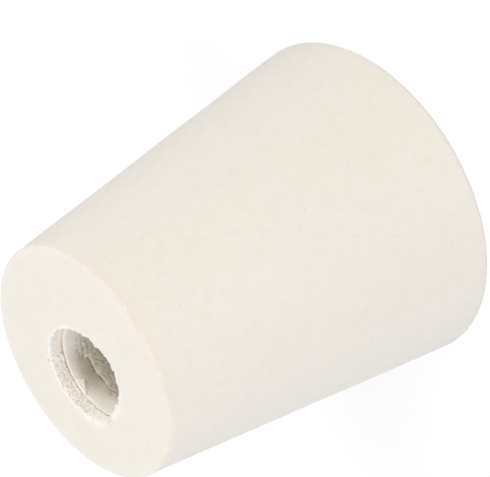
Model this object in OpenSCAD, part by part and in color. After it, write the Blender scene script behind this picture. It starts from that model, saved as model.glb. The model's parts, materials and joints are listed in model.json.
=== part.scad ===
// One-hole laboratory rubber stopper.
//
// A tapered round plug, moulded in one piece from cream-white rubber, with one
// bore right through it for a glass tube or a thermometer. It stands on its wide
// end with the narrow end up. The origin is the centre of the wide end's face,
// and +Z runs along the body's axis.
//
// The bore is a little off the body's axis, towards +X. Close under the narrow end
// the tool that cut it left two undercut rings. In each, the wall flares outwards
// with depth, then steps back in to the bore's own width on a small flat ledge.

/* [Body] */
// Diameter of the wide end, where its face and the side would meet
wide_d = 24; // [20:0.5:36]
// Diameter of the narrow end, where its face and the side would meet
narrow_d = 17; // [15:0.5:20]
// Height from one end face to the other
body_h = 26; // [14:0.5:40]
// Radius of the rounded edge round the wide end
wide_edge_r = 0.15; // [0.1:0.05:1.5]
// Radius of the rounded edge round the narrow end
narrow_edge_r = 0.15; // [0.1:0.05:1]

/* [Bore] */
// Diameter of the straight bore, which grips the tube
bore_d = 7; // [4:0.1:8]
// Distance from the body's axis to the bore's axis
bore_offset = 1; // [0:0.05:1.5]
// Radius of the rounded edge round each mouth of the bore
mouth_edge_r = 0.1; // [0.05:0.05:0.4]

/* [Ledges] */
// Depth of the first ledge under the narrow end's face
first_ledge_depth = 1.15; // [0.8:0.05:3]
// Distance from the first ledge down to the second
ledge_spacing = 1.75; // [0.8:0.05:4]
// Width of the first ledge, from the bore's wall out into the flare
first_ledge_w = 0.25; // [0.05:0.05:0.6]
// Width of the second ledge, from the bore's wall out into the flare
second_ledge_w = 0.3; // [0.05:0.05:0.6]

/* [Hidden] */

// Facets of a full turn
$fn = 128;
// How far a cutter runs past the face that it opens
cut_past = 1;

wide_r = wide_d / 2;
narrow_r = narrow_d / 2;
bore_r = bore_d / 2;
// Angle between the side and the body's axis
taper = atan((wide_r - narrow_r) / body_h);

first_ledge_z = body_h - first_ledge_depth;
second_ledge_z = first_ledge_z - ledge_spacing;

// A rounded edge meets its end face this far in from the corner. The corner's
// inside angle is 90 degrees less the taper at the wide end, and 90 degrees
// more at the narrow end.
wide_edge_in = wide_edge_r / tan((90 - taper) / 2);
narrow_edge_in = narrow_edge_r / tan((90 + taper) / 2);

// Centre of each rounded edge in the half section, as [radius, height]
wide_round = [wide_r - wide_edge_in, wide_edge_r];
narrow_round = [narrow_r - narrow_edge_in, body_h - narrow_edge_r];
// Direction that points straight out of the side in the half section
side_out = [cos(taper), sin(taper)];

stopper_color = "#efe8dc";

// Half section of the plug. The straight outline runs in to the centre of each
// round and out again, and a circle there fills the corner.
module body_section() {
    polygon([
        [0, 0],
        [wide_round.x, 0],
        wide_round,
        wide_round + wide_edge_r * side_out,
        narrow_round + narrow_edge_r * side_out,
        narrow_round,
        [narrow_round.x, body_h],
        [0, body_h]
    ]);
    translate(wide_round)
        circle(r = wide_edge_r);
    translate(narrow_round)
        circle(r = narrow_edge_r);
}

// Half section of what a rounded mouth takes away: the round starts at a height of
// 0 on the bore's wall and ends on the face, and the air above the face goes with it
module mouth_section() {
    difference() {
        translate([bore_r - mouth_edge_r, 0])
            square([2 * mouth_edge_r, mouth_edge_r + cut_past]);
        translate([bore_r + mouth_edge_r, 0])
            circle(r = mouth_edge_r);
    }
}

// Cutter for one rounded mouth, in an end face at z = 0 that looks up
module mouth_cut() {
    translate([0, 0, -mouth_edge_r])
        rotate_extrude()
            mouth_section();
}

// Undercut ring: the bore's own width at the top, and a flat ledge at the bottom
module ledge_cut(ledge_z, ledge_w, top_z) {
    translate([0, 0, ledge_z])
        cylinder(h = top_z - ledge_z, r1 = bore_r + ledge_w, r2 = bore_r);
}

// Everything that the bore takes out of the plug, on its own axis
module bore_cut() {
    translate([0, 0, -cut_past])
        cylinder(h = body_h + 2 * cut_past, r = bore_r);
    ledge_cut(first_ledge_z, first_ledge_w, body_h);
    ledge_cut(second_ledge_z, second_ledge_w, first_ledge_z);
    translate([0, 0, body_h])
        mouth_cut();
    mirror([0, 0, 1])
        mouth_cut();
}

module stopper() {
    color(stopper_color)
        difference() {
            rotate_extrude()
                body_section();
            translate([bore_offset, 0, 0])
                bore_cut();
        }
}

stopper();
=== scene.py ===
"""One-hole laboratory rubber stopper, dressed round its CAD frame.

Sizes are in millimetres, and MM turns them to the metres of the CAD frame. There the
stopper stands on its wide end, with the centre of that end at the origin and +Z along
its axis. Angles are in degrees round the axis, from +X.
"""
import json
import math

import bpy
import numpy as np
from mathutils import Matrix, Vector


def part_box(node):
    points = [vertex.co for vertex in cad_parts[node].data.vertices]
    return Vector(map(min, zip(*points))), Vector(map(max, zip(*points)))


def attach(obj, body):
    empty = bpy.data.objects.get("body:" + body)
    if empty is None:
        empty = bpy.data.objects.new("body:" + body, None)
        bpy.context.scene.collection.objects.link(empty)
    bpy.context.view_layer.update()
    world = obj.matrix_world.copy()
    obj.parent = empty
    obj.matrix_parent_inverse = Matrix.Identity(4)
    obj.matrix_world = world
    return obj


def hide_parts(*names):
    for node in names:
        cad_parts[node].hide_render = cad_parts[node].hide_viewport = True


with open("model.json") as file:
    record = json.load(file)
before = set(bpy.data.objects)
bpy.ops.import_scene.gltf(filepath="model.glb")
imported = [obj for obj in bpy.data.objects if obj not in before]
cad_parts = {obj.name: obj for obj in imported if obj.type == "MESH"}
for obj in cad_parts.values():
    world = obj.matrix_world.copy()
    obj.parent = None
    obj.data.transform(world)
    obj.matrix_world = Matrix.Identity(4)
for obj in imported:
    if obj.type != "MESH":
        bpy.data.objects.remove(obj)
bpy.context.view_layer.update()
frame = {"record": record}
MM = 0.001

# ---------------------------------------------------------------------------
# The plug: one tapered moulding of cream-white rubber. Its outside is as smooth
# as the steel mould. The bore was punched out afterwards, and the punch tore the
# rubber as it went in, so the mouth and the two ledges under it are ragged.
# ---------------------------------------------------------------------------

plug_low, plug_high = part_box("stopper")
bore_mount = next(m for m in frame["record"]["mounts"] if m["name"] == "bore")

body_h = (plug_high.z - plug_low.z) / MM
wide_d = 24.0
narrow_d = 17.0
wide_edge_r = 0.15
narrow_edge_r = 0.08
bore_r = bore_mount["dims"]["r_mm"]
bore_x = bore_mount["pos_m"][0] / MM
mouth_edge_r = 0.06
far_mouth_edge_r = 0.1
first_ledge_depth = 1.15
first_ledge_w = 0.25
second_ledge_depth = 2.9
second_ledge_w = 0.3
# Below this depth the wall was cut cleanly
clean_depth = 4.3
# Width of the trimmed strip inside the narrow rim, and of the torn strip round the mouth
trim_w = 0.5
torn_w = 0.7

wide_r = wide_d / 2
narrow_r = narrow_d / 2
taper = math.atan((wide_r - narrow_r) / body_h)
wide_round = (wide_r - wide_edge_r / math.tan((math.pi / 2 - taper) / 2), wide_edge_r)
narrow_round = (narrow_r - narrow_edge_r / math.tan((math.pi / 2 + taper) / 2),
                body_h - narrow_edge_r)
mouth_r = bore_r + mouth_edge_r
far_mouth_r = bore_r + far_mouth_edge_r

# Steps round the axis, in degrees from +X: closest together where the wall is most torn
TURNS = 512
TORN_SIDE = -47
CROWDING = 0.35
even_turn = np.linspace(-180, 180, TURNS, endpoint=False)
turn = even_turn - math.degrees(CROWDING) * np.sin(np.radians(even_turn - TORN_SIDE))


def straight(start, end, steps):
    """Points on a line: start + (end - start) * i / steps, without the last one."""
    return np.linspace(start, end, steps, endpoint=False)


def arc(centre, radius, start, end, steps, share):
    """Points on a circle: centre + radius * (cos a, sin a), with a from start to end
    in degrees, without the last one. share goes beside each point."""
    a = np.radians(np.linspace(start, end, steps, endpoint=False))
    return np.column_stack([centre[0] + radius * np.cos(a), centre[1] + radius * np.sin(a),
                            np.full(steps, share)])


def at_side(round_centre, round_r, above=0.0):
    """A point of the slanted side, above mm up it from where a rounded edge meets it, with
    no share of the bore's offset."""
    return (round_centre[0] + round_r * math.cos(taper) - above * math.sin(taper),
            round_centre[1] + round_r * math.sin(taper) + above * math.cos(taper), 0)


def in_bore(wider, depth):
    """A point of the bore's wall: how far it is outside the bore's radius, and its depth."""
    return (bore_r + wider, body_h - depth, 1)


# A ring lies this near each rounded edge, so that the shading of the edge stays there. The
# side has evenly spaced rings up to where the warm band under the narrow rim begins.
near_edge = 0.3
warm_below = 0.9

# Half section of the plug as one closed line: up the side, in over the narrow end,
# down the bore and out over the wide end. Each point is a radius, a height and the
# share of the bore's offset that the centre of its ring has.
half_section = {
    "side_start": straight(at_side(wide_round, wide_edge_r),
                           at_side(wide_round, wide_edge_r, near_edge), 1),
    "side": straight(at_side(wide_round, wide_edge_r, near_edge),
                     at_side(narrow_round, narrow_edge_r, -warm_below), 11),
    "side_end": straight(at_side(narrow_round, narrow_edge_r, -warm_below),
                         at_side(narrow_round, narrow_edge_r), 3),
    "narrow_edge": arc(narrow_round, narrow_edge_r, math.degrees(taper), 90, 8, 0),
    "trim": straight((narrow_round[0], body_h, 0), (narrow_round[0] - trim_w, body_h, 0), 19),
    "narrow_face": straight((narrow_round[0] - trim_w, body_h, 0),
                            (mouth_r + torn_w, body_h, 1), 7),
    "torn_strip": straight((mouth_r + torn_w, body_h, 1), (mouth_r, body_h, 1), 10),
    "mouth_edge": arc((mouth_r, body_h - mouth_edge_r), mouth_edge_r, 90, 180, 4, 1),
    "first_flare": straight(in_bore(0, mouth_edge_r),
                            in_bore(first_ledge_w, first_ledge_depth), 36),
    "first_ledge": straight(in_bore(first_ledge_w, first_ledge_depth),
                            in_bore(0, first_ledge_depth), 5),
    "second_flare": straight(in_bore(0, first_ledge_depth),
                             in_bore(second_ledge_w, second_ledge_depth), 40),
    "second_ledge": straight(in_bore(second_ledge_w, second_ledge_depth),
                             in_bore(0, second_ledge_depth), 6),
    "upper_bore": straight(in_bore(0, second_ledge_depth), in_bore(0, clean_depth), 18),
    "bore": straight(in_bore(0, clean_depth), in_bore(0, body_h - far_mouth_edge_r), 8),
    "far_mouth_edge": arc((far_mouth_r, far_mouth_edge_r), far_mouth_edge_r, 180, 270, 4, 1),
    "far_mouth_strip": straight((far_mouth_r, 0, 1), (far_mouth_r + near_edge, 0, 1), 1),
    "wide_face": straight((far_mouth_r + near_edge, 0, 1), (wide_round[0] - near_edge, 0, 0), 6),
    "wide_face_end": straight((wide_round[0] - near_edge, 0, 0), (wide_round[0], 0, 0), 1),
    "wide_edge": arc(wide_round, wide_edge_r, -90, math.degrees(taper), 6, 0),
}
section = np.vstack(list(half_section.values()))
ends = np.cumsum([len(points) for points in half_section.values()])
rows = {name: slice(end - len(points), end)
        for (name, points), end in zip(half_section.items(), ends)}

radius = np.repeat(section[:, :1], TURNS, axis=1)
height = np.repeat(section[:, 1:2], TURNS, axis=1)
share = section[:, 2:]
depth = body_h - section[:, 1:2]


def uneven(along, round_mm, along_mm, seed, ring_r=bore_r, waves=60):
    """Smooth random field of about unit size: sqrt(2 / waves) times the sum of
    cos(k * turn + m * along + phase). Its waves are about round_mm long round a ring of
    radius ring_r and along_mm long across the rings, and k is whole, so that it closes."""
    rng = np.random.default_rng(seed)
    k = np.round(rng.normal(0, 2 * math.pi * ring_r / round_mm, waves))[:, None, None]
    m = rng.normal(0, 2 * math.pi / along_mm, waves)[:, None, None]
    phase = rng.uniform(0, 2 * math.pi, waves)[:, None, None]
    return np.cos(k * np.radians(turn) + m * along + phase).sum(0) * math.sqrt(2 / waves)


def edge_noise(round_mm, seed, ring_r=bore_r):
    """The same field along one edge: one number for each step round the axis."""
    return uneven(np.zeros((1, 1)), round_mm, 1, seed, ring_r)[0]


def bump_at(value, width):
    """Bell curve exp(-(value / width)^2 / 2)."""
    return np.exp(-(value / width) ** 2 / 2)


def turned_from(middle):
    """Angle of each step from middle, in degrees, between -180 and 180."""
    return (turn - middle + 180) % 360 - 180


def ramp(value, start, end):
    """0 at start, 1 at end, held outside them, and 3t^2 - 2t^3 between them."""
    t = np.clip((value - start) / (end - start), 0, 1)
    return t * t * (3 - 2 * t)


def within(first, last, blur):
    """1 between the angles first and last, falling to 0 over blur degrees outside them."""
    middle = (first + last) / 2
    half = (last - first) / 2
    return 1 - ramp(np.abs(turned_from(middle)), half, half + blur)


def outline(points):
    """Value at each step round the axis, on straight lines between (degrees, value)."""
    places, values = zip(*sorted(points))
    return np.interp(turn, places, values, period=360)


# The moulded outside is never quite true: it dips by a few hundredths. The wide end has
# sunk a little as it cooled, so the plug stands on its rim.
outside_dip = 0.03
dip_waves = 0.01
dip_wave_l = 14
for name in ["wide_edge", "side_start", "side", "side_end", "narrow_edge", "trim"]:
    waves = np.clip(uneven(section[rows[name], 1:2], dip_wave_l, dip_wave_l, seed=11,
                           ring_r=narrow_r), -3, 3)
    inside_rim = narrow_round[0] - section[rows[name], :1]
    radius[rows[name]] -= (outside_dip + dip_waves * waves) * (1 - ramp(inside_rim, 0, 0.9 * trim_w))
wide_end_sink = 0.05
wide_end_sinks_over = 3
for name in ["far_mouth_edge", "far_mouth_strip", "wide_face", "wide_face_end"]:
    inside_rim = wide_round[0] - section[rows[name], :1]
    height[rows[name]] += wide_end_sink * ramp(inside_rim, 0, wide_end_sinks_over)

# The mould's flash was trimmed off the narrow rim by hand: here and there a thin lip is
# left a little way in from the rounded edge, and the face lies a little below it
face_sink = 0.02
face_sinks_over = 0.3
face_waves = 0.004
lip_h = 0.02
lip_w = 0.035
lip_waves = 0.04
trim = rows["trim"]
narrow_edge = rows["narrow_edge"]
mouth_edge = rows["mouth_edge"]
from_rim = narrow_round[0] - section[trim, :1]
lip_place = lip_waves * edge_noise(1.6, seed=21, ring_r=narrow_r) + outline([
    (60, 0.15), (105, 0.13), (122, 0.15), (135, 0.3), (160, 0.33), (180, 0.4), (200, 0.35)])
lip_left = within(45, 210, 15) * np.clip(
    0.8 * edge_noise(0.9, seed=22, ring_r=narrow_r) - 0.4, 0, 1.2)
lip = lip_left * bump_at(from_rim - lip_place, lip_w)
sunk = face_sink * ramp(from_rim, 0, face_sinks_over)
height[trim] -= np.clip(
    sunk - lip_h * lip + face_waves * uneven(from_rim, 0.5, 0.5, seed=23, ring_r=narrow_r), 0, None)
# The rim wanders a little in and out, and what lies beside it follows
under_rim = rows["side_end"]
rim_wander = 0.015 * edge_noise(0.45, seed=25, ring_r=narrow_r)
radius[narrow_edge] += rim_wander
radius[trim] += rim_wander * (1 - ramp(from_rim, 0, face_sinks_over))
radius[under_rim] += rim_wander * (1 - ramp(depth[under_rim], 0, warm_below))
middle_of_face_r = 6
for name in ["narrow_face", "torn_strip"]:
    height[rows[name]] -= face_sink + face_waves * uneven(
        section[rows[name], :1], 4, 3, seed=24, ring_r=middle_of_face_r)
height[mouth_edge] -= face_sink

# The mouth as the punch left it: how far its edge stands out from a true circle. From
# 48 to 76 degrees a torn flap of rubber stands in over the hole.
MOUTH_EDGE = [(-180, -0.14), (-165, -0.17), (-150, -0.12), (-130, -0.04), (-100, 0.05),
              (-81, 0.02), (-79, 0.16), (-77, 0.02), (-60, 0.0), (-30, 0.03), (0, 0.0),
              (20, 0.05), (40, -0.08), (52, -0.38), (74, -0.42), (77, -0.22), (86, -0.18),
              (94, -0.03), (105, 0.06), (110, 0.0), (118, 0.16), (126, 0.13), (135, 0.21),
              (140, 0.08), (150, 0.04), (154, -0.03), (157, -0.18), (159, -0.05),
              (165, 0.02), (174, -0.14)]
# Finer rags and teeth run along it. The teeth are larger on the side of the flap.
rag = 0.03
tooth = 0.018
toothed = 1 + within(45, 200, 10)
edge_out = (outline(MOUTH_EDGE) + rag * edge_noise(0.35, seed=31)
            + tooth * toothed * edge_noise(0.17, seed=33))
# Beside the flap the edge was torn off at a slope, which runs softly from the face into
# the wall and leaves a shallow hollow there
sloped = within(5, 32, 17)
slope_h = 0.12
slope_out = 0.1
slope_w = 0.45
slope_end = 0.6
hollow = 0.06
hollow_half_h = 0.25
edge_out += slope_out * sloped
torn = rows["torn_strip"]
torn_r = section[torn, :1]
height[torn] -= slope_h * sloped * ramp(torn_r, mouth_r + slope_w, mouth_r)
height[mouth_edge] -= slope_h * sloped
radius[torn] += edge_out * ramp(torn_r, mouth_r + torn_w, mouth_r)
radius[mouth_edge] += edge_out
# The ragged edge fades out between these depths
rag_start = 0.05
rag_end = 0.55
first = rows["first_flare"]
radius[first] += edge_out * (1 - ramp(depth[first], rag_start, rag_end))
radius[first] += hollow * sloped * bump_at(depth[first] - rag_end, hollow_half_h)
height[first] -= slope_h * sloped * (1 - ramp(depth[first], mouth_edge_r, slope_end))
# The punch pushed up a low burr along the edge
burr_h = 0.013
burr_w = 0.35
burr = burr_h * np.clip(0.6 + 0.4 * edge_noise(1.2, seed=32), 0, 1) * (1 - sloped)
height[torn] += burr * ramp(torn_r, mouth_r + burr_w, mouth_r)
height[mouth_edge] += burr

# Torn rubber partly fills the undercuts over the ledges. The first is open on one side of
# the hole, and the second where the wall is most torn.
first_open = outline([(-125, 1), (-92, 1), (-85, 0.9), (-77, 0.5), (-69, 0.6), (-45, 0.65),
                      (-37, 0.45), (-9, 0.3), (0, 0.1), (60, 0), (150, 0.5)])
second_open = outline([(-125, 0.3), (-85, 0.3), (-60, 1), (-40, 1), (-20, 0.4), (0, 0.05),
                       (60, 0.05), (150, 0.5)])
for flare, open_part in [("first_flare", first_open), ("second_flare", second_open)]:
    radius[rows[flare]] -= (section[rows[flare], :1] - bore_r) * (1 - open_part)

# The lip of the first ledge leans in, most on the torn side
second = rows["second_flare"]
lip_lean = 0.02
torn_lean = 0.03
lip_in = lip_lean + torn_lean * within(-70, 60, 15)
radius[second] -= lip_in * (1 - ramp(depth[second], first_ledge_depth, second_ledge_depth))

# The ledges wander down and up. The second lies a little lower than it was cut, and on
# one side it is torn back upwards.
second_low = 0.05
torn_up = 0.24
torn_back = within(-92, -63, 2)
first_shift = 0.02 * edge_noise(1.5, seed=41) + outline([(-125, 0.1), (-95, 0.08), (-75, 0),
                                                     (-15, 0), (5, -0.12), (25, -0.15), (60, 0)])
second_shift = 0.03 * edge_noise(1.2, seed=42) + second_low - torn_back * (
    torn_up + 0.04 * edge_noise(0.5, seed=43))
# The wall over and under each ledge follows it, from and to these depths
ledge_flat = 0.02
for shift, names, follows_from, ledge_depth, follows_to in [
        (first_shift, ["first_flare", "first_ledge", "second_flare"],
         0.4, first_ledge_depth, first_ledge_depth + 0.8),
        (second_shift, ["second_flare", "second_ledge", "upper_bore"],
         1.7, second_ledge_depth, second_ledge_depth + 1.2)]:
    for name in names:
        over = ramp(depth[rows[name]], follows_from, ledge_depth)
        under = 1 - ramp(depth[rows[name]], ledge_depth + ledge_flat, follows_to)
        height[rows[name]] -= over * under * shift


def across(name, to_last=False):
    """How far across its part of the section each row lies: i / count, or i / (count - 1)
    to the last row."""
    return np.linspace(0, 1, rows[name].stop - rows[name].start, endpoint=to_last)[:, None]


# Behind each ledge the wall is split by a fine groove, which is also painted dark as shade,
# so that the ledge stands up as a lip. The first groove runs mostly outwards and the second
# mostly down, and both are wider on one side. Each fades out over the first two thirds of its ledge.
groove_w = 0.05
wider_by = 0.03
groove_half_h = groove_w + wider_by * within(-125, -90, 8)
split = outline([(-125, 0.35), (-97, 0.38), (-85, 0.6), (-77, 0.42), (-65, 0.85), (-57, 0.6),
                 (-45, 0.55), (-31, 0.7), (-23, 0.5), (-7, 0.9), (2, 0.8), (6, 0.4), (9, 1.1),
                 (17, 1.1), (21, 0.2), (60, 0.5)])
first_groove = split * np.clip(1 + 0.15 * edge_noise(0.3, seed=46), 0, 2)
second_groove = np.clip(0.95 + 0.6 * edge_noise(0.6, seed=45), 0.3, 1.7) * (1 - 0.5 * torn_back)
groove = np.zeros_like(radius)
for flare, ledge, open_part, down, outwards in [
        ("first_flare", "first_ledge", first_groove, 0.03, 0.1),
        ("second_flare", "second_ledge", second_groove, 0.11, 0.044)]:
    above = section[rows[flare], 1:2] - section[rows[ledge], 1:2][0]
    groove[rows[flare]] = open_part * bump_at(above, groove_half_h)
    groove[rows[ledge]] = open_part * np.clip(1 - 1.5 * across(ledge), 0, 1) ** 2
    for name in [flare, ledge]:
        height[rows[name]] -= down * groove[rows[name]]
        radius[rows[name]] += outwards * groove[rows[name]]

# The inner edges of the ledges are ragged, down to these depths
upper = rows["upper_bore"]
first_rag_end = 1.5
second_rag_end = 3.3
first_rag = 0.015 * edge_noise(0.4, seed=51)
second_rag = (0.02 + 0.03 * torn_back) * edge_noise(0.35, seed=52)
radius[second] += first_rag * (1 - ramp(depth[second], first_ledge_depth, first_rag_end))
radius[upper] += second_rag * (1 - ramp(depth[upper], second_ledge_depth, second_rag_end))

# The torn wall: drag marks down it, and crumbs that are coarsest on the torn side
drag_w = 0.35
drag_l = 6
crumbly = 0.3 + 0.7 * within(-75, 0, 15)
for name, drag, crumb, crumb_w in [("first_flare", 0.006, 0.014, 0.3),
                                   ("second_flare", 0.009, 0.007, 0.3),
                                   ("upper_bore", 0.010, 0.020, 0.45)]:
    down = depth[rows[name]]
    radius[rows[name]] += drag * uneven(down, drag_w, drag_l, seed=61)
    radius[rows[name]] += crumb * crumbly * uneven(down, crumb_w, crumb_w, seed=62)
# One side of the first flare has fine ripples round it. The clean wall further down has
# only long shallow marks.
ripple = 0.008
ripple_l = 4
ripple_w = 0.22
radius[first] += ripple * within(-150, -90, 15) * uneven(depth[first], ripple_l, ripple_w, seed=64)
clean = rows["bore"]
mark = 0.006
mark_w = 0.8
mark_l = 12
radius[clean] += mark * uneven(depth[clean], mark_w, mark_l, seed=63)

# Pits where grains of filler tore out: most on the torn side, with a row of them just
# above the first ledge, and a few where the second ledge is torn back
rng = np.random.default_rng(71)
mm_per_degree = math.radians(1) * bore_r


def pits(name, turns, depths, smallest, largest):
    """Pits in a stretch of the wall, as how far each point is sunk in mm: the deepest of
    many bells sunk * exp(-(distance / size)^2 / 2). Each has its own size, and is sunk by
    0.8 to 1.8 times that."""
    size = rng.uniform(smallest, largest, len(turns))
    sunk = size * rng.uniform(0.8, 1.8, len(turns))
    off = (turn - turns[:, None] + 180) % 360 - 180
    round_bell = bump_at(off * mm_per_degree, size[:, None])
    down_bell = bump_at(depth[rows[name]].T - depths[:, None], size[:, None])
    return (sunk[:, None, None] * down_bell[:, :, None] * round_bell[:, None, :]).max(0)


SCATTERED = 120
IN_ROW = 30
ALL_ROUND = 30
highest_pit = 0.15
lowest_pit = 1.05
row_above_ledge = 0.1
row_waves = 0.03
smallest_pit = 0.024
largest_pit = 0.046
pitted = np.zeros_like(radius)
pitted[first] = pits(
    "first_flare",
    np.concatenate([rng.normal(-38, 24, SCATTERED), rng.uniform(-100, 18, IN_ROW),
                    rng.uniform(-180, 180, ALL_ROUND)]),
    np.concatenate([rng.uniform(highest_pit, lowest_pit, SCATTERED),
                    rng.normal(first_ledge_depth - row_above_ledge, row_waves, IN_ROW),
                    rng.uniform(highest_pit, lowest_pit, ALL_ROUND)]), smallest_pit, largest_pit)
# On the second flare: one long pit and one small one that stand alone, each point an angle
# and a depth, and a patch at either end of the torn side
LONE_PITS = np.array([(-48, 2.25), (-48, 2.32), (-60, 2.35)])
LEFT_PATCH = 30
RIGHT_PATCH = 14
smallest_lower_pit = 0.025
largest_lower_pit = 0.045
pitted[second] = pits(
    "second_flare",
    np.concatenate([LONE_PITS[:, 0], rng.uniform(-97, -62, LEFT_PATCH),
                    rng.uniform(-18, 0, RIGHT_PATCH)]),
    np.concatenate([LONE_PITS[:, 1], rng.uniform(2.2, 2.85, LEFT_PATCH),
                    rng.uniform(2.3, 2.85, RIGHT_PATCH)]), smallest_lower_pit, largest_lower_pit)
radius += pitted


def strip(start, end, half_w, shift=0.0):
    """1 on a strip of the second flare from start to end, each an angle and a depth, and 0
    past half_w mm from its middle. It is moved shift mm along the turn."""
    along = (depth[second] - start[1]) / (end[1] - start[1])
    middle = start[0] + (end[0] - start[0]) * along
    off_middle = np.abs((turn - middle) * mm_per_degree - shift)
    return (1 - ramp(off_middle, 0.6 * half_w, half_w)) * ramp(along, -0.05, 0.1) * (
        1 - ramp(along, 0.8, 1.0))


# A tag of torn rubber in two lobes stands off the wall slantwise under the first ledge.
# Its foot stands out furthest, and its top by this share of that. A painted shadow lies on
# the wall beside each lobe, this far over.
UPPER_LOBE = ((-26.3, 1.2), (-39, 1.54), 0.09)
LOWER_LOBE = ((-33.5, 1.38), (-44.5, 1.72), 0.07)
tag_out = 0.3
top_share = 0.25
shadow_beside_upper = 0.1
shadow_beside_lower = 0.08
tag = np.maximum(strip(*UPPER_LOBE), strip(*LOWER_LOBE))
tag_shadow = np.maximum(strip(*UPPER_LOBE, shadow_beside_upper),
                        strip(*LOWER_LOBE, shadow_beside_lower)) * (1 - tag)
lean = np.clip((depth[second] - first_ledge_depth) / (LOWER_LOBE[1][1] - first_ledge_depth), 0, 1)
radius[second] -= tag_out * tag * (top_share + (1 - top_share) * lean)

# Each ledge runs in from the foot of the torn wall above it to its own lip, and is never
# narrower than this. Where it has to be widened, the wall under it follows for this far.
least_ledge_w = 0.06
lip_runs_out = 0.5
for flare, ledge, below, ledge_depth in [
        ("first_flare", "first_ledge", "second_flare", first_ledge_depth),
        ("second_flare", "second_ledge", "upper_bore", second_ledge_depth)]:
    foot = radius[rows[ledge].start - 1]
    lip_out = np.clip(radius[rows[below].start] - foot + least_ledge_w, 0, None)
    radius[rows[below]] -= lip_out * (
        1 - ramp(depth[rows[below]], ledge_depth, ledge_depth + lip_runs_out))
    radius[rows[ledge]] = foot + (radius[rows[below].start] - foot) * across(ledge)

# How white each point is, from 0 to 1: torn rubber is chalky white. The lip on the narrow
# rim is painted white as its highlight, and the wide edge and the foot of the side are painted
# lighter, to lift the shade where they meet the table. The white runs a little way over the
# mouth's edge onto the face, furthest behind the flap, and from 85 to 215 degrees round the
# mouth it is a painted highlight. It is lost in the grooves, on part of the first ledge and,
# on the torn side, further down the wall, as painted shade.
white_w = 0.2
behind_flap_w = 0.3
flap = within(50, 76, 3)
# From 85 to 215 degrees the mouth's edge is painted white as a highlight; by the flap and the slope it
# is torn white
mouth_white_and_highlight = 0.1 + 0.9 * within(85, 215, 10) + np.maximum(0.6 * flap, 0.3 * sloped)
# In the grooves the white is painted down as shade
outside_groove_shade = 1 - 0.8 * np.clip(groove, 0, 1)
torn_middle = bump_at(turned_from(-45), 19)
first_ledge = rows["first_ledge"]
fresh = np.zeros_like(radius)
# The wide edge and the foot of the side are painted lighter, to lift the shade where they meet the
# table
fresh[rows["wide_edge"]] = 0.85
fresh[rows["side_start"]] = 0.1
# The lip is painted white as its highlight
fresh[trim] = 0.6 * lip
fresh[torn] = mouth_white_and_highlight * ramp(torn_r, mouth_r + white_w + behind_flap_w * flap, mouth_r)
fresh[mouth_edge] = mouth_white_and_highlight
fresh[first] = outside_groove_shade[first]
fresh[first_ledge] = (1 - 0.6 * within(-125, -50, 10)) * outside_groove_shade[first_ledge]
fresh[second] = 1 - 0.9 * ramp(depth[second], 1.2, 2.6) * torn_middle
fresh[second] = np.maximum(fresh[second], tag)

# How much dirt or painted shade each point has, from 0 to 1. Painted shade takes down the
# highlight of the narrow rim's rounded edge, most over the middle of that edge, and darkens
# a thin strip of the face inside it and the side just under it a little.
soil = np.zeros_like(radius)
rim_shade = outline([(50, 0.2), (62, 0.36), (85, 0.44), (105, 0.42), (138, 0.48), (160, 0.34),
                (180, 0.34), (203, 0.36), (215, 0.24)])
rim_shade_waves = 0.09
rim_shade = np.clip(rim_shade + rim_shade_waves * edge_noise(0.45, seed=84, ring_r=narrow_r), 0, 1)
side_shade = 0.11 * within(105, 180, 15)
just_under_rim = 1 - ramp(depth[under_rim], near_edge, warm_below)
shaded_strip_w = 0.12
# A thin painted shadow lies along the inner side of the lip, this far from its middle
shadow_from_lip = 0.06
shadow_line_half_w = 0.03
beside_lip = bump_at(from_rim - lip_place - shadow_from_lip, shadow_line_half_w)
soil[narrow_edge] = np.maximum(
    rim_shade * np.sin(math.pi * across("narrow_edge", to_last=True)), side_shade)
soil[trim] = 0.1 * lip_left * beside_lip + 0.35 * rim_shade * (1 - ramp(from_rim, 0, shaded_strip_w))
soil[under_rim] = 0.3 * side_shade * just_under_rim

# At the mouth there is a dark nick in the edge, and one dark spot on the first flare, at
# this angle and depth
SPOT = (-105, 0.48)
spot_half_w = 0.1
spot_dirt = 0.5
nick = within(-80, -78, 1)
nick_from = 0.35
nick_to = 0.1
nick_dirt = 0.5
soil[first] = spot_dirt * bump_at(turned_from(SPOT[0]) * mm_per_degree, spot_half_w) * bump_at(
    depth[first] - SPOT[1], spot_half_w)
soil[torn] = nick_dirt * nick * ramp(torn_r, mouth_r + nick_from, mouth_r + nick_to)
# Down the second flare the wall is painted darker with depth as shade, most on the torn side
# and near the second ledge, and a painted shadow lies beside the tag. The second ledge is
# painted darker as shade, and it has dirt where it is torn back. Below it the wall is greyer.
wall_shade = 0.52
tag_shadow_grey = 0.7
beside_torn_shade = 0.3
second_ledge_shade = 0.48
torn_back_dirt = 0.15
clean_wall_grey = 0.3
cloudy_dirt = 0.07
cloudy_dirt_w = 0.6
# The first ledge is painted darker as shade, most from -77 to -55 degrees
soil[first_ledge] = outline([(-125, 0.08), (-105, 0.1), (-89, 0.15), (-77, 0.37), (-69, 0.34),
                             (-55, 0.25), (-45, 0.15), (-35, 0.1), (-10, 0), (60, 0)])
soil[second] = wall_shade * ramp(depth[second], 1.2, 2.7) * torn_middle + tag_shadow_grey * tag_shadow
soil[second] += beside_torn_shade * within(-15, 40, 10) * ramp(depth[second], 2.1, 2.8)
soil[second] *= 1 - tag
soil[rows["second_ledge"]] = second_ledge_shade + torn_back_dirt * torn_back
soil[upper] = outline([(-110, 0.2), (-60, 0.26), (-20, 0.38), (0, 0.55), (60, 0.52), (120, 0.25)])
soil[upper] += cloudy_dirt * uneven(depth[upper], cloudy_dirt_w, cloudy_dirt_w, seed=81)
soil[clean] = clean_wall_grey
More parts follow.
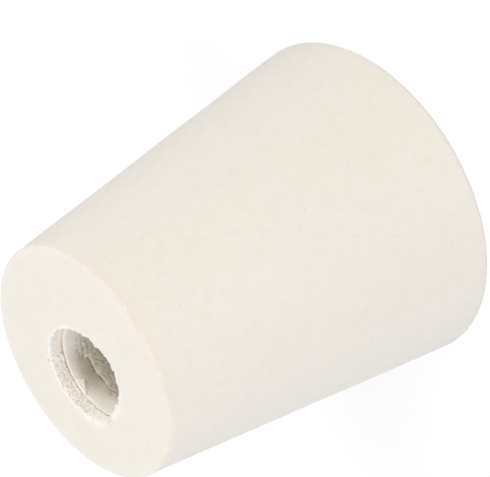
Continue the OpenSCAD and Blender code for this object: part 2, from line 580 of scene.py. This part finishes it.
# Fine streaks and specks of dirt all down the torn wall, and painted shade in the pits and grooves
fine_w = 0.14
streak_l = 0.9
streak = 0.03
speck = 0.03
for name in ["first_flare", "second_flare", "upper_bore"]:
    down = depth[rows[name]]
    soil[rows[name]] += streak * uneven(down, fine_w, streak_l, seed=82) + speck * uneven(
        down, fine_w, fine_w, seed=83)
pit_shade = 7.5 + 3.5 * within(-88, -62, 8)
groove_shade = 0.7
soil = np.clip(soil + np.maximum(pit_shade * pitted, groove_shade * groove), 0, 1)

# A painted warm reflection lies along the rim, on the face inside it and the side just under it, over
# the half of its round that faces the lamps
warm_w = 1.5
band_w = warm_w + warm_w * bump_at(turned_from(92), 10) + 0.2 * edge_noise(
    3, seed=91, ring_r=narrow_r)
handled = np.zeros_like(radius)
handled[under_rim] = 0.65 * just_under_rim * within(110, 200, 30)
handled[narrow_edge] = 0.75
for name in ["trim", "narrow_face"]:
    handled[rows[name]] = 1 - ramp(narrow_r - section[rows[name], :1], 0.3 * band_w, band_w)
handled *= within(68, 200, 16)


def closed_sheet(name, x, y, z):
    """A closed skin from three grids of coordinates in mm: row i, column j is one corner,
    and the grid joins up with itself along both its sides."""
    count = x.size
    corner = np.arange(count).reshape(x.shape)
    next_turn = np.roll(corner, -1, axis=1)
    next_row = np.roll(corner, -1, axis=0)
    quads = np.stack([corner, next_turn, np.roll(next_turn, -1, axis=0), next_row], -1)
    mesh = bpy.data.meshes.new(name)
    mesh.vertices.add(count)
    mesh.vertices.foreach_set("co", (np.stack([x, y, z], -1) * MM).ravel())
    mesh.loops.add(4 * count)
    mesh.loops.foreach_set("vertex_index", quads.ravel())
    mesh.polygons.add(count)
    mesh.polygons.foreach_set("loop_start", np.arange(0, 4 * count, 4))
    mesh.update(calc_edges=True)
    mesh.shade_smooth()
    piece = bpy.data.objects.new(name, mesh)
    bpy.context.scene.collection.objects.link(piece)
    return piece


side_turn = np.radians(turn)
plug = closed_sheet("rubber_plug", bore_x * share + radius * np.cos(side_turn),
                    radius * np.sin(side_turn), height)
for name, values in [("fresh", fresh), ("soil", soil), ("handled", handled)]:
    layer = plug.data.attributes.new(name, "FLOAT", "POINT")
    layer.data.foreach_set("value", values.ravel())
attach(plug, "root")
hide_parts("stopper")


# Cream-white natural rubber with chalk filler, moulded against smooth steel: a matt
# cream that is a little cloudy, with a broad dull sheen and a few pinholes. Where it
# was torn it is chalky, and deep in the bore it is painted grey, partly as dirt and partly
# as painted shade. A painted warm reflection lies on the rim, and painted highlights lie on
# its lip and along the mouth. Light goes a little way into it, which softens its edges.
def linear(colour):
    """An sRGB colour like '#efe8dc' as linear RGBA."""
    parts = [int(colour[i:i + 2], 16) / 255 for i in (1, 3, 5)]
    return [p / 12.92 if p <= 0.04045 else ((p + 0.055) / 1.055) ** 2.4 for p in parts] + [1]


def add(tree, kind, inputs=None, **settings):
    """Adds a node with its settings. An input is a value or another node's output."""
    node = tree.nodes.new(kind)
    for key, value in settings.items():
        setattr(node, key, value)
    for key, value in (inputs or {}).items():
        if isinstance(value, bpy.types.NodeSocket):
            tree.links.new(value, node.inputs[key])
        else:
            node.inputs[key].default_value = value
    return node


RUBBER_CREAM = "#edebdf"
RUBBER_CLOUD = "#ece9dc"
TORN_AND_HIGHLIGHT_WHITE = "#fff8ec"
DIRT_AND_SHADE_GREY = "#a79f8b"
RUBBER_MOTTLE = "#e9e6d9"
RIM_WARM_REFLECTION = "#efe8db"
PINHOLE = "#e4e0d3"

rubber = bpy.data.materials.new("moulded_cream_rubber")
rubber.use_nodes = True
tree = rubber.node_tree
tree.nodes.clear()
place = add(tree, "ShaderNodeTexCoord").outputs["Object"]
# Clouds of filler, and a finer mottle
cloud_w = 6
mottle_w = 0.8
clouds = add(tree, "ShaderNodeTexNoise", {"Vector": place, "Scale": 1 / (cloud_w * MM), "Detail": 3.0})
tone = add(tree, "ShaderNodeMix", {"Factor": clouds.outputs["Fac"], "A": linear(RUBBER_CREAM),
                                   "B": linear(RUBBER_CLOUD)}, data_type="RGBA")
fine = add(tree, "ShaderNodeTexNoise", {"Vector": place, "Scale": 1 / (mottle_w * MM),
                                        "Detail": 5.0, "Roughness": 0.65})
specked = add(tree, "ShaderNodeMapRange", {"Value": fine.outputs["Fac"], "From Min": 0.45,
                                           "From Max": 0.8})
mottled = add(tree, "ShaderNodeMix", {"Factor": specked.outputs[0], "A": tone.outputs["Result"],
                                      "B": linear(RUBBER_MOTTLE)}, data_type="RGBA")
# Pinholes: one in each cell, of which few meet the surface. A hole is full within its
# floor and gone past its brim, both as shares of a cell.
pinholes_apart = 1.1
pinhole_floor = 0.03
pinhole_brim = 0.13
cells = add(tree, "ShaderNodeTexVoronoi", {"Vector": place, "Scale": 1 / (pinholes_apart * MM)})
pinholes = add(tree, "ShaderNodeMapRange", {"Value": cells.outputs["Distance"],
                                            "From Min": pinhole_floor, "From Max": pinhole_brim,
                                            "To Min": 1.0, "To Max": 0.0})
holed = add(tree, "ShaderNodeMix", {"Factor": pinholes.outputs[0],
                                    "A": mottled.outputs["Result"], "B": linear(PINHOLE)},
            data_type="RGBA")
# Over that the painted warm reflection on the rim, then the torn white and painted highlights, then
# the dirt and painted shade
rim_band = add(tree, "ShaderNodeAttribute", attribute_name="handled")
warm_lit = add(tree, "ShaderNodeMix", {"Factor": rim_band.outputs["Fac"],
                                     "A": holed.outputs["Result"], "B": linear(RIM_WARM_REFLECTION)},
             data_type="RGBA")
white_and_highlight_part = add(tree, "ShaderNodeAttribute", attribute_name="fresh")
whitened = add(tree, "ShaderNodeMix", {"Factor": white_and_highlight_part.outputs["Fac"],
                                     "A": warm_lit.outputs["Result"], "B": linear(TORN_AND_HIGHLIGHT_WHITE)},
             data_type="RGBA")
dirt_and_shade_part = add(tree, "ShaderNodeAttribute", attribute_name="soil")
colour = add(tree, "ShaderNodeMix", {"Factor": dirt_and_shade_part.outputs["Fac"],
                                     "A": whitened.outputs["Result"], "B": linear(DIRT_AND_SHADE_GREY)},
             data_type="RGBA")
# The grain of the mould, and the pinholes as small dents
grain_w = 0.25
grain_h = 0.02
pinhole_depth = 0.03
light_goes_in = 0.35
grain = add(tree, "ShaderNodeTexNoise", {"Vector": place, "Scale": 1 / (grain_w * MM), "Detail": 4.0})
relief = add(tree, "ShaderNodeBump", {"Height": grain.outputs["Fac"], "Strength": 0.12,
                                      "Distance": grain_h * MM})
dents = add(tree, "ShaderNodeBump", {"Height": pinholes.outputs[0], "Strength": 0.15,
                                     "Distance": pinhole_depth * MM,
                                     "Normal": relief.outputs["Normal"]}, invert=True)
skin = add(tree, "ShaderNodeBsdfPrincipled", {
    "Base Color": colour.outputs["Result"], "Roughness": 0.75, "IOR": 1.52,
    "Specular IOR Level": 0.3, "Subsurface Weight": 1.0, "Subsurface Radius": (1.0, 1.0, 1.0),
    "Subsurface Scale": light_goes_in * MM, "Normal": dents.outputs["Normal"]})
add(tree, "ShaderNodeOutputMaterial", {"Surface": skin.outputs["BSDF"]})
plug.data.materials.append(rubber)

# ---------------------------------------------------------------------------
# The table: a wide pale sheet, which keeps the plug's soft shadow. The camera
# sees it as white, while the plug gets only its ordinary bounce.
# ---------------------------------------------------------------------------

TABLE_PALE = "#bcbcbc"
# Half its width in metres, and the glow that lifts it to white for the camera
table_half = 1.5
table_glow = 0.58
table_mesh = bpy.data.meshes.new("table")
table_mesh.from_pydata([(-table_half, -table_half, 0), (table_half, -table_half, 0),
                        (table_half, table_half, 0), (-table_half, table_half, 0)],
                       [], [(0, 1, 2, 3)])
table = bpy.data.objects.new("table", table_mesh)
bpy.context.scene.collection.objects.link(table)


def sees_white(tree):
    """1 for the rays that should meet a white backdrop: those from the camera, and those
    that a shiny or clear surface sends on."""
    rays = add(tree, "ShaderNodeLightPath")
    seen = add(tree, "ShaderNodeMath", {0: rays.outputs["Is Camera Ray"],
                                        1: rays.outputs["Is Glossy Ray"]}, operation="MAXIMUM")
    through = add(tree, "ShaderNodeMath", {0: seen.outputs[0],
                                           1: rays.outputs["Is Transmission Ray"]},
                  operation="MAXIMUM")
    return through.outputs[0]


sheet = bpy.data.materials.new("pale_table")
sheet.use_nodes = True
tree = sheet.node_tree
tree.nodes.clear()
paper = add(tree, "ShaderNodeBsdfDiffuse", {"Color": linear(TABLE_PALE)})
lift = add(tree, "ShaderNodeEmission", {"Color": (1, 1, 1, 1), "Strength": table_glow})
lifted = add(tree, "ShaderNodeAddShader", {0: paper.outputs[0], 1: lift.outputs[0]})
seen = add(tree, "ShaderNodeMixShader", {0: sees_white(tree), 1: paper.outputs[0],
                                         2: lifted.outputs[0]})
add(tree, "ShaderNodeOutputMaterial", {"Surface": seen.outputs[0]})
table_mesh.materials.append(sheet)

# ---------------------------------------------------------------------------
# The light: a pale studio tent with a large soft box on either side of the camera and
# a weak one in front. The left box is a little pinker, and the right one a little cooler.
# ---------------------------------------------------------------------------

world = bpy.data.worlds.new("tent")
bpy.context.scene.world = world
world.use_nodes = True
tree = world.node_tree
tree.nodes.clear()
tent_glow = 0.5
tent = add(tree, "ShaderNodeBackground", {"Color": (1, 1, 1, 1), "Strength": tent_glow})
white = add(tree, "ShaderNodeBackground", {"Color": (1, 1, 1, 1), "Strength": 1.0})
backdrop = add(tree, "ShaderNodeMixShader", {0: sees_white(tree), 1: tent.outputs[0],
                                             2: white.outputs[0]})
add(tree, "ShaderNodeOutputWorld", {"Surface": backdrop.outputs[0]})


# Width of each soft box and its distance from the middle of the plug, in metres
box_w = 0.5
box_distance = 0.6


def soft_box(name, turn_deg, height_deg, watts, colour):
    """A square lamp that looks at the middle of the plug from turn_deg round from +X and
    height_deg up: middle + distance * (cos t cos h, sin t cos h, sin h)."""
    lamp = bpy.data.lights.new(name, "AREA")
    lamp.size = box_w
    lamp.energy = watts
    lamp.color = linear(colour)[:3]
    box = bpy.data.objects.new(name, lamp)
    turned, raised = math.radians(turn_deg), math.radians(height_deg)
    middle = Vector((0, 0, body_h * MM / 2))
    outward = Vector((math.cos(turned) * math.cos(raised),
                      math.sin(turned) * math.cos(raised), math.sin(raised)))
    box.location = middle + box_distance * outward
    box.rotation_euler = outward.to_track_quat("Z", "Y").to_euler()
    bpy.context.scene.collection.objects.link(box)


soft_box("left_box", 185, 36, 2.02, "#fff8fc")
soft_box("right_box", 66, 32, 1.9, "#f8f4ff")
soft_box("front_box", 133, 30, 0.48, "#ffffff")

# ---------------------------------------------------------------------------
# The camera: a long lens that looks down on the narrow end, turned on its side. Its
# focal length is in pixels of a picture of this width, and its roll in degrees.
# ---------------------------------------------------------------------------

camera_place = Vector((-106.69, 112.58, 110.64)) * MM
camera_aim = Vector((-2.13, -0.24, 11.04)) * MM
camera_roll = -120.15
SENSOR = 36
focal_px = 2697
image_w = 490

look = (camera_aim - camera_place).normalized()
level_right = look.cross(Vector((0, 0, 1))).normalized()
turned = Matrix.Rotation(math.radians(-camera_roll), 3, look)
right = turned @ level_right
up = right.cross(look)
lens = bpy.data.cameras.new("camera")
lens.sensor_width = SENSOR
lens.lens = focal_px * SENSOR / image_w
lens.clip_start = 0.01
camera = bpy.data.objects.new("camera", lens)
pose = Matrix((right, up, -look)).transposed().to_4x4()
pose.translation = camera_place
camera.matrix_world = pose
bpy.context.scene.collection.objects.link(camera)
bpy.context.scene.camera = camera
bpy.context.scene.view_settings.view_transform = "Standard"

# ---------------------------------------------------------------------------
# The scene is brought up to date.
# ---------------------------------------------------------------------------

bpy.context.view_layer.update()
